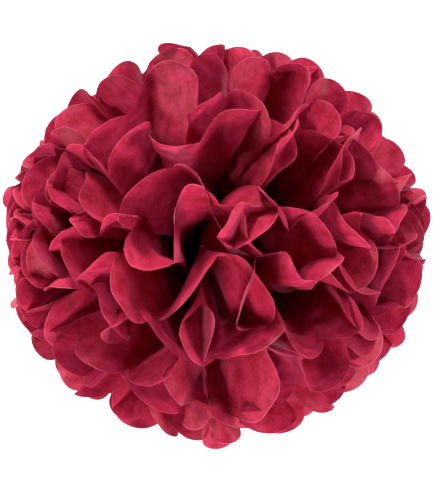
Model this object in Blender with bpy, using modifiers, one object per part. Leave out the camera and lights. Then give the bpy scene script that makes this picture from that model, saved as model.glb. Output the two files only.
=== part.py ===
"""Tissue paper pom pom.

Twelve sheets of tissue are pleated together, tied round the middle with a wire, cut round at
the ends and pulled apart, six up and six down, into a ball of petals. Metres, +Z up. The
origin is under the middle of the ball, on the surface that it stands on.

A sheet is a grid: a column for each fold line, and rows that run along the fold lines, from
the petals of one fan, through the tie, to the petals of the other.
"""

import math

import bpy
import numpy as np

# Driving dimensions, metres.
SHEET_LENGTH = 0.250         # one sheet along its folds, petal tip to petal tip
PANEL_WIDTH = 0.038          # between two folds
PANELS = 14                  # panels across one sheet; each one has a petal at both ends
LOBE_DEPTH = 0.013           # how far the round end of a petal reaches past its fold lines
PAPER_THICKNESS = 0.0004     # stands for one tissue sheet and the air in its crumples
STACK_PITCH = 0.0009         # from one sheet to the next where they are tied
NECK_HALF_WIDTH = 0.0055     # half the width of the stack in the tie
WIRE_RADIUS = 0.0004
WIRE_CLEARANCE = 0.0012      # from the paper in the tie to the wire's centre line
TWIST_LENGTH = 0.012
TWIST_TURNS = 2.5

# How steeply each sheet stands, in degrees from level, from the middle of the ball outwards.
UPPER_LEAN = [6.0, 20.0, 33.0, 47.0, 61.0, 79.0]
LOWER_LEAN = [6.0, 17.0, 28.0, 39.0, 50.0, 79.0]

BEND_START = 0.001           # along a fold line, where a sheet starts to rise from the stack
BEND_END = 0.024             # and where it has its full lean
FOOT_START = 0.096           # where the lowest sheet starts to turn out along the surface
FOOT_END = 0.108             # and where it lies flat
SLIT_ANGLE = math.radians(1.5)       # from the ball's X axis to the edge of a fan, at its rim
CORE_SLIT_ANGLE = math.radians(16.0)  # and the same angle at the tie
FAN_OPEN_LENGTH = 0.045      # along a fold line, where the fan is fully open
LOBE_SEGMENTS = 6
FOLD_ROWS = [0.0, 0.005, 0.012, 0.022, 0.045, 0.078]
FOOT_ROWS = [0.0, 0.005, 0.012, 0.022, 0.050, FOOT_START, FOOT_END]
STEP = 0.0005                # for adding up the length of a fold line

PAPER_COLOUR = (0.36, 0.018, 0.045, 1.0)
WIRE_COLOUR = (0.10, 0.22, 0.10, 1.0)


def clear_scene():
    for item in list(bpy.data.objects):
        bpy.data.objects.remove(item, do_unlink=True)


def make_material(name, colour, roughness, metallic):
    material = bpy.data.materials.new(name)
    material.use_nodes = True
    shader = material.node_tree.nodes["Principled BSDF"]
    shader.inputs["Base Color"].default_value = colour
    shader.inputs["Roughness"].default_value = roughness
    shader.inputs["Metallic"].default_value = metallic
    return material


def smooth_ramp(value, start, end):
    """0 before start, 1 after end, with a smooth turn between them."""
    t = np.clip((value - start) / (end - start), 0.0, 1.0)
    return t * t * (3.0 - 2.0 * t)


def lean_at(distance, lean, has_foot):
    """The angle from level of a fold line, at a distance along it from the tie."""
    angle = math.radians(lean) * smooth_ramp(distance, BEND_START, BEND_END)
    if has_foot:
        angle = angle * (1.0 - smooth_ramp(distance, FOOT_START, FOOT_END))
    return angle


def profile(distances, lean, has_foot):
    """Reach, height and angle of a sheet's middle surface at distances along a fold line."""
    fine = np.arange(0.0, SHEET_LENGTH / 2 + STEP, STEP)
    angle = lean_at(fine, lean, has_foot)
    middle = 0.5 * (angle[1:] + angle[:-1])
    reach = np.concatenate([[0.0], np.cumsum(np.cos(middle)) * STEP])
    height = np.concatenate([[0.0], np.cumsum(np.sin(middle)) * STEP])
    return (np.interp(distances, fine, reach),
            np.interp(distances, fine, height),
            np.interp(distances, fine, angle))


def pleat_half_height(reach, distances, has_foot):
    """Half the height of the zigzag: what the panel width leaves at the rim, less inwards."""
    rim_pitch = SHEET_LENGTH * math.sin(math.pi / (4 * PANELS))
    rim_height = math.sqrt(PANEL_WIDTH ** 2 - rim_pitch ** 2)
    half = 0.5 * rim_height * reach / (SHEET_LENGTH / 2)
    half = half * smooth_ramp(distances, 0.004, 0.030)
    if has_foot:
        half = half * (1.0 - smooth_ramp(distances, 0.5 * FOOT_END, FOOT_START))
    return half


def fold_azimuth(fold, distance):
    """Where a fold line points at a distance along it. The fan is narrower at the tie."""
    opening = smooth_ramp(distance, 0.0, FAN_OPEN_LENGTH)
    edge = CORE_SLIT_ANGLE + (SLIT_ANGLE - CORE_SLIT_ANGLE) * opening
    return edge + (math.pi - 2 * edge) * fold / PANELS


def sheet_points(fold, distance, side, lean, level, turn, has_foot):
    """Points of a sheet for whole arrays of fold numbers and distances.

    A fold number between two whole numbers lies on the flat panel between two folds, and the
    zigzag displaces even folds one way and odd folds the other, square to the lean. side is 1
    for one fan and -1 for the other, level is the height in the tied stack, and turn is 1 for
    a sheet pulled up and -1 for one pulled down.
    """
    reach, height, angle = profile(distance, lean, has_foot)
    nearest = np.abs((fold % 2) - 1.0)
    offset = pleat_half_height(reach, distance, has_foot) * (1.0 - 2.0 * nearest)
    out = reach - turn * offset * np.sin(angle)
    up = level + turn * height + offset * np.cos(angle)
    azimuth = fold_azimuth(fold, distance)
    x = (NECK_HALF_WIDTH + out) * np.cos(azimuth)
    y = side * out * np.sin(azimuth)
    return np.stack([x, y, up], axis=-1)


def make_sheet(name, lean, level, turn, material, collection, has_foot):
    """One sheet: flat panels between the folds, and a round petal on both ends of each."""
    corner = SHEET_LENGTH / 2 - LOBE_DEPTH
    rows = (FOOT_ROWS if has_foot else FOLD_ROWS) + [corner]
    both_ways = [-value for value in reversed(rows[1:])] + rows
    signed = np.array(both_ways)[:, None] * np.ones((1, PANELS + 1))
    folds = np.arange(PANELS + 1)[None, :] * np.ones_like(signed)
    side = np.where(signed < 0, -1.0, 1.0)
    grid = sheet_points(folds, np.abs(signed), side, lean, level, turn, has_foot)
    points = [tuple(p) for p in grid.reshape(-1, 3)]
    across = PANELS + 1
    last = len(both_ways) - 1

    faces = []
    for row in range(last):
        for fold in range(PANELS):
            first = row * across + fold
            faces.append((first, first + 1, first + across + 1, first + across))

    turn_angle = np.arange(1, LOBE_SEGMENTS) * math.pi / LOBE_SEGMENTS
    for end, end_side in ((0, -1.0), (last, 1.0)):
        for fold in range(PANELS):
            lobe_fold = fold + 0.5 - 0.5 * np.cos(turn_angle)
            lobe_distance = corner + LOBE_DEPTH * np.sin(turn_angle)
            lobe = sheet_points(lobe_fold, lobe_distance, end_side, lean, level, turn, has_foot)
            start = len(points)
            points.extend(tuple(p) for p in lobe)
            ring = [end * across + fold]
            ring.extend(range(start, start + LOBE_SEGMENTS - 1))
            ring.append(end * across + fold + 1)
            faces.append(tuple(ring) if end_side < 0 else tuple(reversed(ring)))

    mesh = bpy.data.meshes.new(name)
    mesh.from_pydata(points, [], faces)
    mesh.validate()
    sheet = bpy.data.objects.new(name, mesh)
    mesh.materials.append(material)
    collection.objects.link(sheet)
    skin = sheet.modifiers.new("paper_thickness", "SOLIDIFY")
    skin.thickness = PAPER_THICKNESS
    skin.offset = 0.0
    return sheet


def wire_route(stack_half_height):
    """The wire's centre line: one tail, once round the stack, and the other tail.

    The loop is an ellipse in the XZ plane, through the two slits. The tails are twisted round
    each other along -X.
    """
    half_width = NECK_HALF_WIDTH + 0.006
    half_height = stack_half_height + WIRE_CLEARANCE
    strand_offset = WIRE_RADIUS + 0.0002
    opening = strand_offset / half_height
    loop_angle = np.linspace(math.pi - math.asin(opening), opening - math.pi, 33)
    loop = np.stack([half_width * np.cos(loop_angle),
                     np.zeros_like(loop_angle),
                     half_height * np.sin(loop_angle)], axis=-1)
    along = np.linspace(0.0, 1.0, 31)[1:]
    spin = 2 * math.pi * TWIST_TURNS * along
    tail_x = loop[0, 0] - 0.001 - TWIST_LENGTH * along
    tail = np.stack([tail_x, strand_offset * np.sin(spin), strand_offset * np.cos(spin)], axis=-1)
    other_tail = tail * np.array([1.0, -1.0, -1.0])
    return np.concatenate([tail[::-1], loop, other_tail])


def make_wire(stack_half_height, material, collection):
    curve = bpy.data.curves.new("wire_tie", "CURVE")
    curve.dimensions = "3D"
    curve.bevel_depth = WIRE_RADIUS
    curve.bevel_resolution = 2
    curve.use_fill_caps = True
    route = wire_route(stack_half_height)
    spline = curve.splines.new("POLY")
    spline.points.add(len(route) - 1)
    for point, place in zip(spline.points, route):
        point.co = (place[0], place[1], place[2], 1.0)
    wire = bpy.data.objects.new("wire_tie", curve)
    curve.materials.append(material)
    collection.objects.link(wire)
    return wire


def stand_on_surface(pieces):
    """Moves every piece so that the box round them all is centred over the origin, at z = 0."""
    bpy.context.view_layer.update()
    graph = bpy.context.evaluated_depsgraph_get()
    corners = []
    for piece in pieces:
        mesh = piece.evaluated_get(graph).to_mesh()
        places = np.empty(len(mesh.vertices) * 3)
        mesh.vertices.foreach_get("co", places)
        corners.append(places.reshape(-1, 3).min(axis=0))
        corners.append(places.reshape(-1, 3).max(axis=0))
    low = np.min(corners, axis=0)
    high = np.max(corners, axis=0)
    move = (-0.5 * (low[0] + high[0]), -0.5 * (low[1] + high[1]), -low[2])
    for piece in pieces:
        piece.location = move


def build():
    clear_scene()
    collection = bpy.data.collections.new("tissue_paper_pom_pom")
    bpy.context.scene.collection.children.link(collection)
    pieces = []
    for number, lean in enumerate(UPPER_LEAN, start=1):
        name = f"upper_sheet_{number}"
        paper = make_material(f"{name}_paper", PAPER_COLOUR, 0.85, 0.0)
        level = (number - 0.5) * STACK_PITCH
        pieces.append(make_sheet(name, lean, level, 1.0, paper, collection, False))
    for number, lean in enumerate(LOWER_LEAN, start=1):
        name = f"lower_sheet_{number}"
        paper = make_material(f"{name}_paper", PAPER_COLOUR, 0.85, 0.0)
        level = -(number - 0.5) * STACK_PITCH
        has_foot = number == len(LOWER_LEAN)
        pieces.append(make_sheet(name, lean, level, -1.0, paper, collection, has_foot))
    steel = make_material("wire_enamel", WIRE_COLOUR, 0.45, 0.6)
    stack_half_height = len(UPPER_LEAN) * STACK_PITCH
    pieces.append(make_wire(stack_half_height, steel, collection))
    stand_on_surface(pieces)


build()
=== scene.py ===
import math

import bpy
import numpy as np
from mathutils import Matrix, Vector


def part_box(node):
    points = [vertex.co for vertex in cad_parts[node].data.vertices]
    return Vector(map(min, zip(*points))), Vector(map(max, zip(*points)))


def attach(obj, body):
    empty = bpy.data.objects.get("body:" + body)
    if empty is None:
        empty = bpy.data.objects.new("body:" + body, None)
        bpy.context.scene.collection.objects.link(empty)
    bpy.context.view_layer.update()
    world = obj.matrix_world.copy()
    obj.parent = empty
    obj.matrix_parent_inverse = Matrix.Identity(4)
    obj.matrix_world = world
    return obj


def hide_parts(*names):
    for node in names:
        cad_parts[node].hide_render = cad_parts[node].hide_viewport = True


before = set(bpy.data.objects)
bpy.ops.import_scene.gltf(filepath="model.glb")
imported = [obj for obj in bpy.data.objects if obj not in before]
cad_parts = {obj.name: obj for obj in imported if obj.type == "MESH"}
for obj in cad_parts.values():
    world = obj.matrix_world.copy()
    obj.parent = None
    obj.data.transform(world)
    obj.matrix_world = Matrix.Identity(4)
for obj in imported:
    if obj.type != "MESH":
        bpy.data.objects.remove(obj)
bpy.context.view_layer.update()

# ---------------------------------------------------------------- the studio
# A white, softly glowing table top that curves up beyond the ball into a backdrop, and four
# soft lamps low round the ball, which light the rim and leave the hollows dark. The air is
# white to the camera, and gives hardly any light.

scene = bpy.context.scene
scene.view_settings.view_transform = "Standard"

core = 0.5 * (Vector(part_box("wire_tie")[0]) + Vector(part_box("wire_tie")[1]))
core.x = 0.0

FLOOR_GREY = 0.50
FLOOR_GLOW = 1.0
FLOOR_HALF_WIDTH = 6.0
FLOOR_FRONT = -4.0
BEND_PLACE = 2.5
BEND_RADIUS = 1.0
WALL_TOP = 6.0
AIR_LIGHT = 0.02
AIR_SEEN = 0.98
LAMP_DISTANCE = 1.35
CAMERA_LENS = 85.0
CAMERA_ELEVATION = math.radians(81.0)
CAMERA_DISTANCE = 0.725
CAMERA_SHIFT = Vector((0.001, -0.003, 0.0))


class Shader:
    """Wraps a socket, so that shader maths reads as plain expressions on numbers."""

    def __init__(self, tree, socket):
        self.tree = tree
        self.socket = socket

    def node(self, kind, settings=None, values=None, out=0):
        """Adds a node: its settings first, then a value or a link for each named socket."""
        made = self.tree.nodes.new(kind)
        for name, value in (settings or {}).items():
            setattr(made, name, value)
        for name, value in (values or {}).items():
            if isinstance(value, Shader):
                self.tree.links.new(value.socket, made.inputs[name])
            else:
                made.inputs[name].default_value = value
        return Shader(self.tree, made.outputs[out])

    def maths(self, operation, other, third=None):
        values = {0: self, 1: other}
        if third is not None:
            values[2] = third
        return self.node("ShaderNodeMath", {"operation": operation}, values)

    def __add__(self, other):
        return self.maths("ADD", other)

    def __mul__(self, other):
        return self.maths("MULTIPLY", other)

    def ramp(self, low, high):
        """0 below low, 1 above high, smooth between them."""
        return self.node("ShaderNodeMapRange",
                         {"interpolation_type": "SMOOTHSTEP"},
                         {"Value": self, "From Min": low, "From Max": high})

    def blend(self, first, second):
        """A mix of two colours, by this number."""
        return self.node("ShaderNodeMix", {"data_type": "RGBA"},
                         {"Factor": self, "A": first, "B": second}, out="Result")


def new_material(name):
    """A material with an empty tree and an output, and a Shader to add nodes with."""
    material = bpy.data.materials.new(name)
    material.use_nodes = True
    tree = material.node_tree
    tree.nodes.clear()
    output = tree.nodes.new("ShaderNodeOutputMaterial")
    return material, Shader(tree, None), output


def grid_mesh(name, points, uv=None):
    """A mesh on a grid of points, one vertex for each, with an optional UV of the same grid."""
    rows, columns = points.shape[:2]
    index = np.arange(rows * columns).reshape(rows, columns)
    quads = np.stack([index[:-1, :-1], index[:-1, 1:], index[1:, 1:], index[1:, :-1]], axis=-1)
    quads = quads.reshape(-1, 4)
    mesh = bpy.data.meshes.new(name)
    mesh.vertices.add(rows * columns)
    mesh.vertices.foreach_set("co", points.astype(np.float32).ravel())
    mesh.loops.add(quads.size)
    mesh.loops.foreach_set("vertex_index", quads.astype(np.int32).ravel())
    mesh.polygons.add(len(quads))
    mesh.polygons.foreach_set("loop_start", np.arange(0, quads.size, 4, dtype=np.int32))
    mesh.update(calc_edges=True)
    if uv is not None:
        layer = mesh.uv_layers.new(name="Flat")
        layer.data.foreach_set("uv", uv.reshape(-1, 2)[quads.ravel()].astype(np.float32).ravel())
    mesh.shade_smooth()
    return mesh


def sweep_floor():
    """A level floor, a quarter round, and a wall, as a profile drawn along X."""
    turn = np.linspace(0.0, math.pi / 2, 16)
    along = np.concatenate([[FLOOR_FRONT], BEND_PLACE + BEND_RADIUS * np.sin(turn),
                            [BEND_PLACE + BEND_RADIUS]])
    up = np.concatenate([[0.0], BEND_RADIUS - BEND_RADIUS * np.cos(turn), [WALL_TOP]])
    across = np.array([-FLOOR_HALF_WIDTH, FLOOR_HALF_WIDTH])
    points = np.stack(np.broadcast_arrays(across[:, None], along[None, :], up[None, :]), axis=-1)
    return grid_mesh("studio_floor", points)


floor = bpy.data.objects.new("studio_floor", sweep_floor())
scene.collection.objects.link(floor)
floor_paint, add, output = new_material("floor_paint")
matte = add.node("ShaderNodeBsdfPrincipled", None,
                 {"Base Color": (FLOOR_GREY, FLOOR_GREY, FLOOR_GREY, 1.0), "Roughness": 0.9,
                  "Specular IOR Level": 0.1, "Emission Color": (1.0, 1.0, 1.0, 1.0),
                  "Emission Strength": FLOOR_GLOW})
floor_paint.node_tree.links.new(matte.socket, output.inputs["Surface"])
floor.data.materials.append(floor_paint)

world = bpy.data.worlds.new("studio_air")
world.use_nodes = True
air = world.node_tree.nodes["Background"]
air.inputs["Color"].default_value = (1.0, 1.0, 1.0, 1.0)
seen = Shader(world.node_tree, None).node("ShaderNodeLightPath", out="Is Camera Ray")
strength = seen.maths("MULTIPLY_ADD", AIR_SEEN, AIR_LIGHT)
world.node_tree.links.new(strength.socket, air.inputs["Strength"])
scene.world = world


def add_softbox(name, place, size, power, aim):
    """A square lamp at a place, turned to face the aim."""
    lamp = bpy.data.lights.new(name, "AREA")
    lamp.size = size
    lamp.energy = power
    holder = bpy.data.objects.new(name, lamp)
    holder.location = place
    holder.rotation_euler = (aim - place).to_track_quat("-Z", "Y").to_euler()
    scene.collection.objects.link(holder)


def lamp_place(azimuth, elevation):
    """The place at the lamps' distance from the core, in a direction given in degrees."""
    turn, rise = math.radians(azimuth), math.radians(elevation)
    return core + LAMP_DISTANCE * Vector((math.cos(turn) * math.cos(rise),
                                          math.sin(turn) * math.cos(rise),
                                          math.sin(rise)))


add_softbox("far_lamp", lamp_place(108.0, 32.0), 0.30, 26.0, core)
add_softbox("near_lamp", lamp_place(-100.0, 20.0), 0.35, 26.0, core)
add_softbox("right_lamp", lamp_place(-12.0, 22.0), 0.35, 19.0, core)
add_softbox("left_lamp", lamp_place(180.0, 24.0), 0.35, 12.0, core)

camera_data = bpy.data.cameras.new("camera")
camera_data.lens = CAMERA_LENS
camera_data.sensor_width = 36.0
camera = bpy.data.objects.new("camera", camera_data)
toward_camera = Vector((0.0, -math.cos(CAMERA_ELEVATION), math.sin(CAMERA_ELEVATION)))
camera_aim = core + CAMERA_SHIFT
camera.location = camera_aim + CAMERA_DISTANCE * toward_camera
camera.rotation_euler = (-toward_camera).to_track_quat("-Z", "Y").to_euler()
scene.collection.objects.link(camera)
scene.camera = camera

# ---------------------------------------------------------------- the tissue sheets
# Twelve sheets of dyed tissue, each 532 mm by 250 mm, folded together into fourteen panels and
# cut round at both ends. Tied at the middle and fanned out, each sheet is then pulled up or
# down by hand, so that its folds open unevenly and every petal takes a bend of its own.

PANELS = 14
PANEL_WIDTH = 0.038
SHEET_LENGTH = 0.250
LOBE_DEPTH = 0.014
NECK_HALF_WIDTH = 0.0055
STACK_PITCH = 0.0009
LEAN = [4.0, 23.0, 41.0, 58.0, 75.0, 91.0]
LEAN_WANDER = 3.0
LEAN_JITTER = 2.5
CURL_BASE = -6.0
CURL_PER_LEAN = 0.04
CURL_JITTER = 7.0
CURL_START = 0.072
PAGE_SHARE = 0.8
SLIT_EDGE = 0.03
WIDEST_GAP = 1.3
WIDTH_SHARE = 0.94
LEAST_DEPTH_SHARE = 0.25
DEPTH_JITTER = 0.20
CRUSHED_SHARE = 0.06
MOST_SPARE = 0.45
TIP_BEND = 0.014
CRINKLE_HEIGHT = 0.0009
SOFTEST_FOLD = 0.9
ROUNDING_PASSES = 5
REST_SOFTNESS = 0.004
REST_HEIGHT = 0.0015
STEP = 0.001
STEPS_ALONG = 60
STEPS_ACROSS = 14
random = np.random.default_rng(7)


def ramp(value, low, high):
    """0 below low, 1 above high, smooth between them."""
    t = np.clip((value - low) / (high - low), 0.0, 1.0)
    return t * t * (3.0 - 2.0 * t)


def fold_azimuths(least, most):
    """Fold azimuths from one slit to the other. Each panel spans the sine of a random angle, so
    some are nearly closed and some nearly flat, but none is wider than its paper."""
    gaps = np.sin(np.radians(random.uniform(least, most, PANELS)))
    gaps = np.minimum(gaps / gaps.mean(), WIDEST_GAP)
    share = np.concatenate([[0.0], np.cumsum(gaps / gaps.sum())])
    return SLIT_EDGE + share * (math.pi - 2 * SLIT_EDGE)


def wandering(count, reach):
    """Random numbers that change slowly along a row: plain ones, averaged over neighbours."""
    raw = random.normal(size=count + 2 * reach)
    window = np.hanning(2 * reach + 3)[1:-1]
    window = window / np.sqrt((window ** 2).sum())
    return np.convolve(raw, window, mode="valid")[:count]


def fold_lines(lean, turn, side, level, tied_azimuths):
    """The curves of one fan's fold lines, as an array of folds by steps by X, Y, Z.

    A fan is lifted partly as a page turned about the X axis and partly as a cone, and a curve
    adds up steps along its own direction. Folds lie to one side and the other of the sheet's
    middle surface, by half of what the panel width leaves when their spacing is taken off.
    """
    folds = PANELS + 1
    distance = np.arange(0.0, SHEET_LENGTH / 2 + STEP, STEP)[None, :]
    open_azimuths = fold_azimuths(-6.0, 84.0)
    spread = ramp(distance, 0.030, 0.100)
    azimuth = tied_azimuths[:, None] + (open_azimuths - tied_azimuths)[:, None] * spread
    end_lean = lean + LEAN_WANDER * wandering(folds, 2) + LEAN_JITTER * random.normal(size=folds)
    curl = CURL_BASE - CURL_PER_LEAN * lean + CURL_JITTER * random.normal(size=folds)
    angle = np.radians(end_lean)[:, None] * ramp(distance, 0.001, 0.018)
    late = np.clip((distance - CURL_START) / (SHEET_LENGTH / 2 - CURL_START), 0.0, 1.0)
    angle = angle + np.radians(curl)[:, None] * late ** 1.3

    cos_a, sin_a = np.cos(azimuth), np.sin(azimuth)
    cos_l, sin_l = np.cos(angle), np.sin(angle)
    heading = np.stack([cos_a * ((1 - PAGE_SHARE) * cos_l + PAGE_SHARE),
                        sin_a * cos_l,
                        sin_l * ((1 - PAGE_SHARE) + PAGE_SHARE * sin_a)], axis=-1)
    heading = heading / np.linalg.norm(heading, axis=-1, keepdims=True)
    square = np.stack([-(1 - PAGE_SHARE) * cos_a * sin_l,
                       -((1 - PAGE_SHARE) * sin_a + PAGE_SHARE) * sin_l,
                       cos_l], axis=-1)
    square = square - (square * heading).sum(axis=-1, keepdims=True) * heading
    square = square / np.linalg.norm(square, axis=-1, keepdims=True)

    middle = 0.5 * (heading[:, 1:] + heading[:, :-1]) * STEP
    path = np.concatenate([np.zeros((folds, 1, 3)), np.cumsum(middle, axis=1)], axis=1)
    path[..., 0] += NECK_HALF_WIDTH * cos_a

    width = PANEL_WIDTH * WIDTH_SHARE * gathered(distance)
    pitch = np.linalg.norm(np.diff(path, axis=0), axis=-1)
    depth = np.sqrt(np.maximum(width ** 2 - pitch ** 2, (LEAST_DEPTH_SHARE * width) ** 2))
    depth = np.concatenate([depth[:1], depth, depth[-1:]], axis=0)
    sign = np.where(np.arange(folds) % 2 == 0, 1.0, -1.0)[:, None] * side
    uneven = 1.0 + DEPTH_JITTER * random.normal(size=(folds, 1))
    offset = sign * 0.25 * (depth[1:] + depth[:-1]) * uneven
    path = path + turn * offset[..., None] * square
    return path * np.array([1.0, side, turn]) + np.array([0.0, 0.0, level])


def gathered(distance):
    """The share of a panel's width that is open at a distance from the tie, which crushes it."""
    return CRUSHED_SHARE + (1.0 - CRUSHED_SHARE) * ramp(distance, 0.0, 0.034)


def crumple(across, along, waves, low, high):
    """Small random waves over a flat sheet: a sum of sines of random direction and length."""
    total = np.zeros(np.broadcast(across, along).shape)
    for _ in range(waves):
        wavelength = random.uniform(low, high)
        heading = random.uniform(0.0, 2 * math.pi)
        start = random.uniform(0.0, 2 * math.pi)
        phase = 2 * math.pi / wavelength * (across * math.cos(heading) + along * math.sin(heading))
        total = total + np.sin(phase + start)
    return total / math.sqrt(waves)


def round_folds(surface, distance, panel, u):
    """Rounds the folds off towards the petals, by averaging points across them, some folds more
    than others. The first axis runs across the sheet, the second along it."""
    softness = random.uniform(0.0, SOFTEST_FOLD, PANELS + 1)
    here = softness[panel] * (1.0 - u) + softness[panel + 1] * u
    weight = 0.5 * here[:, None] * ramp(distance, 0.030, 0.090)[None, :]
    weight = weight[1:-1, :, None]
    for _ in range(ROUNDING_PASSES):
        bend = 0.5 * (surface[2:] + surface[:-2]) - surface[1:-1]
        surface = np.concatenate([surface[:1], surface[1:-1] + weight * bend, surface[-1:]])
    return surface


def fan_points(lean, turn, side, level, tied_azimuths):
    """One fan as a grid: rows from the tie to the petals' ends, columns across the panels.

    A panel is ruled between its two folds and bulges between them by what its width has to
    spare. Rows end on a half ellipse, which is the round cut of the petal.
    """
    curves = fold_lines(lean, turn, side, level, tied_azimuths)
    along = np.arange(curves.shape[1]) * STEP
    t = np.linspace(0.0, 1.0, STEPS_ACROSS + 1)[:-1]
    u_one = 0.5 * t + 0.5 * (0.5 - 0.5 * np.cos(math.pi * t))
    u = np.concatenate([np.tile(u_one, PANELS), [1.0]])
    panel = np.concatenate([np.repeat(np.arange(PANELS), STEPS_ACROSS), [PANELS - 1]])

    chord = curves[panel + 1] - curves[panel]
    run = np.gradient(curves, axis=1)
    normal = np.cross(chord, run[panel] + run[panel + 1])
    normal = normal / np.maximum(np.linalg.norm(normal, axis=-1, keepdims=True), 1e-9)
    gap = np.maximum(np.linalg.norm(chord, axis=-1), 1e-4)
    spare = np.clip(PANEL_WIDTH * gathered(along) / gap - 1.0, 0.0, MOST_SPARE)
    bulge_sign = np.clip(1.4 * random.normal(size=PANELS), -1.0, 1.0)[panel, None]
    bulge = gap * np.sqrt(0.375 * spare) * bulge_sign * np.sin(math.pi * u)[:, None]
    tip_bend = TIP_BEND * random.normal(size=PANELS)[panel, None] * ramp(along, 0.080, 0.135)
    paper = crumple((panel * PANEL_WIDTH + u * PANEL_WIDTH)[:, None], along[None, :],
                    24, 0.010, 0.030)
    crinkle = CRINKLE_HEIGHT * paper * ramp(along, 0.01, 0.05)
    push = bulge + tip_bend + crinkle
    surface = curves[panel] + chord * u[:, None, None] + normal * push[..., None]
    surface = round_folds(surface, along, panel, u)

    v = np.linspace(0.0, 1.0, STEPS_ALONG + 1)[:, None]
    lobe = np.sqrt(np.maximum(1.0 - (2 * u - 1) ** 2, 0.0))
    end = SHEET_LENGTH / 2 - LOBE_DEPTH * (1.0 - lobe)
    distance = v * end[None, :]
    low = np.clip(np.floor(distance / STEP).astype(int), 0, len(along) - 2)
    part = (distance / STEP - low)[..., None]
    column = np.arange(len(u))[None, :]
    points = surface[column, low] * (1 - part) + surface[column, low + 1] * part
    flat_x = np.broadcast_to((panel + u) * PANEL_WIDTH, distance.shape)
    return points, np.stack([flat_x, side * distance], axis=-1), end[None, :] - distance


def settle_on_surface(points):
    """Presses what would hang below the surface flat on it, and moves it outwards."""
    height = points[..., 2]
    raised = REST_SOFTNESS * np.logaddexp(0.0, (height - REST_HEIGHT) / REST_SOFTNESS)
    pressed = raised - height
    radius = np.maximum(np.hypot(points[..., 0], points[..., 1]), 1e-6)
    stretch = 1.0 + 0.5 * pressed / radius * ramp(radius, 0.01, 0.04)
    return np.stack([points[..., 0] * stretch, points[..., 1] * stretch, raised], axis=-1)


def tissue_material():
    """Dyed tissue: lets light through, with cloudy fibres, fine crinkles and a painted highlight
    along the cut edges.
    """
    material, add, output = new_material("tissue")
    flat = add.node("ShaderNodeUVMap", {"uv_map": "Flat"})
    clouds = add.node("ShaderNodeTexNoise", None,
                      {"Vector": flat, "Scale": 140.0, "Detail": 5.0, "Roughness": 0.6})
    fibres = add.node("ShaderNodeTexNoise", None,
                      {"Vector": flat, "Scale": 900.0, "Detail": 3.0, "Roughness": 0.7})
    facets = add.node("ShaderNodeTexVoronoi", {"feature": "F1"},
                      {"Vector": flat, "Scale": 170.0, "Randomness": 1.0}, out="Distance")
    mottle = clouds * 0.6 + fibres * 0.4
    dye = mottle.ramp(0.36, 0.64).blend((0.24, 0.001, 0.010, 1.0), (0.43, 0.015, 0.062, 1.0))
    # Painted highlight: within about half a millimetre of a cut edge the colour turns a paler
    # pink, where the edges would catch the light.
    cut_distance_for_highlight = add.node("ShaderNodeAttribute", {"attribute_name": "cut_distance_for_highlight"}, None, out="Fac")
    colour = cut_distance_for_highlight.ramp(0.0001, 0.0006).blend((0.62, 0.09, 0.16, 1.0), dye)
    relief = mottle * 0.6 + facets * 0.5
    bump = add.node("ShaderNodeBump", None, {"Height": relief, "Distance": 0.0010,
                                            "Strength": 0.35})
    face = add.node("ShaderNodeBsdfPrincipled", None,
                    {"Base Color": colour, "Roughness": 0.50, "Specular IOR Level": 0.14,
                     "Sheen Weight": 0.12, "Sheen Roughness": 0.50,
                     "Sheen Tint": (1.0, 0.60, 0.85, 1.0), "Normal": bump})
    glow = mottle.ramp(0.30, 0.70).blend((0.38, 0.008, 0.044, 1.0), (0.60, 0.044, 0.130, 1.0))
    through = add.node("ShaderNodeBsdfTranslucent", None, {"Color": glow, "Normal": bump})
    both = add.node("ShaderNodeMixShader", None, {0: 0.22, 1: face, 2: through})
    material.node_tree.links.new(both.socket, output.inputs["Surface"])
    return material


tissue = tissue_material()
tied = {side: fold_azimuths(25.0, 65.0) for side in (1.0, -1.0)}
for turn, prefix in ((1.0, "upper_sheet"), (-1.0, "lower_sheet")):
    for number, lean in enumerate(LEAN, start=1):
        level = core.z + turn * (number - 0.5) * STACK_PITCH
        far, far_flat, far_cut = fan_points(lean, turn, 1.0, level, tied[1.0])
        near, near_flat, near_cut = fan_points(lean, turn, -1.0, level, tied[-1.0])
        points = np.concatenate([near[:0:-1], far], axis=0)
        flat = np.concatenate([near_flat[:0:-1], far_flat], axis=0)
        # Distance from the round cut, which places the painted highlight along the edges.
        cut_distance_for_highlight = np.concatenate([near_cut[:0:-1], far_cut], axis=0)
        node = f"{prefix}_{number}"
        mesh = grid_mesh(f"{node}_tissue", settle_on_surface(points), flat)
        mesh.attributes.new("cut_distance_for_highlight", "FLOAT", "POINT")
        mesh.attributes["cut_distance_for_highlight"].data.foreach_set("value", cut_distance_for_highlight.astype(np.float32).ravel())
        sheet = bpy.data.objects.new(f"{node}_tissue", mesh)
        scene.collection.objects.link(sheet)
        mesh.materials.append(tissue)
        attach(sheet, "root")
        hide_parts(node)

# ---------------------------------------------------------------- the binding wire
# Thin steel wire with green enamel, once round the stack and twisted tight. The petals hide it.

enamel, add, output = new_material("wire_enamel")
place = add.node("ShaderNodeTexCoord", None, None, out="Object")
specks = add.node("ShaderNodeTexNoise", None, {"Vector": place, "Scale": 1500.0, "Detail": 3.0})
green = specks.ramp(0.4, 0.7).blend((0.03, 0.10, 0.04, 1.0), (0.06, 0.18, 0.08, 1.0))
coat = add.node("ShaderNodeBsdfPrincipled", None,
                {"Base Color": green, "Roughness": 0.35, "Metallic": 0.2})
enamel.node_tree.links.new(coat.socket, output.inputs["Surface"])
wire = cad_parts["wire_tie"]
wire.data.materials.clear()
wire.data.materials.append(enamel)
